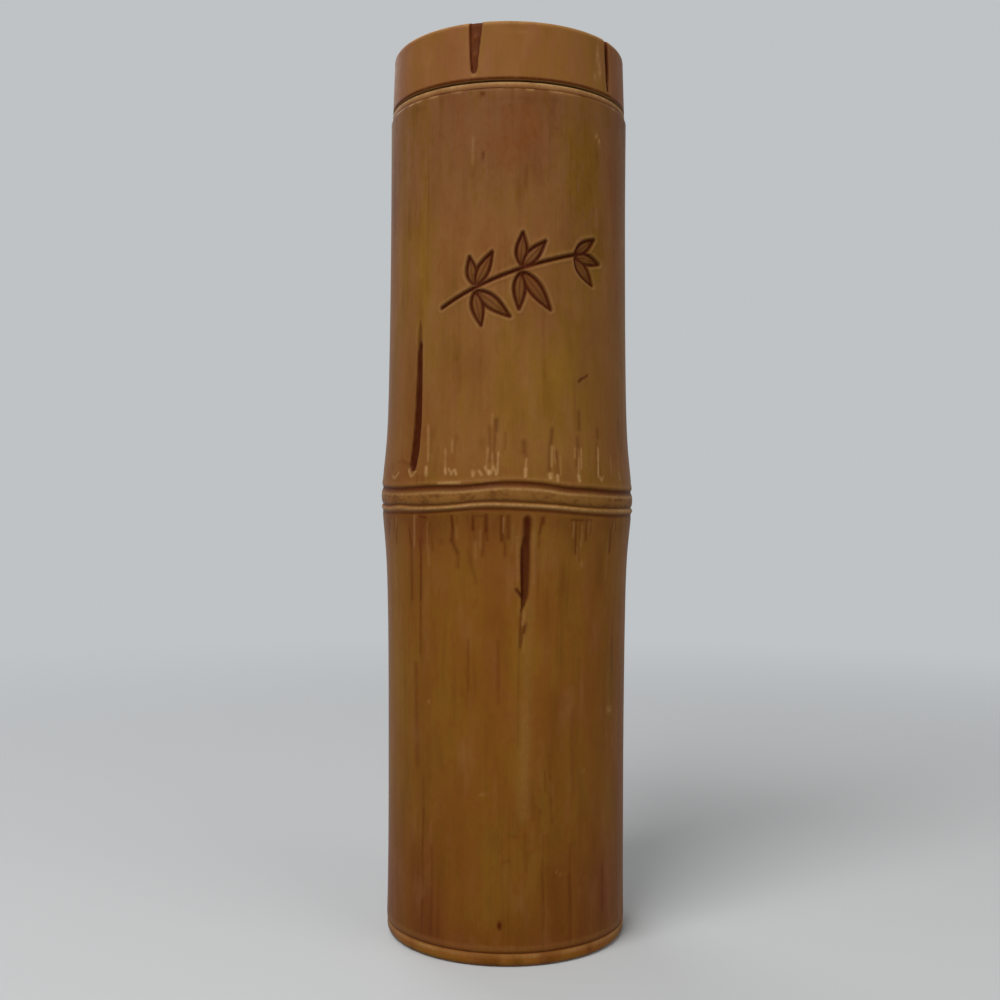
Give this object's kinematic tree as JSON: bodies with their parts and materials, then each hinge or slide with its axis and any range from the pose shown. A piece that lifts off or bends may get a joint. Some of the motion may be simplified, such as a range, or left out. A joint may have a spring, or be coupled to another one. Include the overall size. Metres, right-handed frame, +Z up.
{
  "type": "bamboo-form tiki cup with lid",
  "caption": "Double-walled cup shaped like a piece of bamboo with one node, with a push-on lid that has a straw hole.",
  "frame": {"origin": "middle of the foot, on the plane that the cup stands on", "axes": "+Z up along the cup's axis, front of the cup towards -Y, +X to the right of the front"},
  "size_m": [0.065, 0.065, 0.2239],
  "materials": {
    "bamboo_shell": "satin, moulded bamboo grain with a brown wash",
    "bamboo_lid": "satin, moulded bamboo grain with a brown wash",
    "liner": "smooth satin",
    "base": "smooth satin",
    "seal": "matte silicone"
  },
  "bodies": {
    "cup_body": {"outer_shell": "bamboo_shell", "inner_liner": "liner", "base_cap": "base"},
    "lid_body": {"lid": "bamboo_lid", "seal_ring": "seal"}
  },
  "joints": [
    {"name": "lid_lift", "type": "slide", "parent": "cup_body", "child": "lid_body", "axis": [0, 0, 1], "range_m": [0, 0.05]}
  ]
}
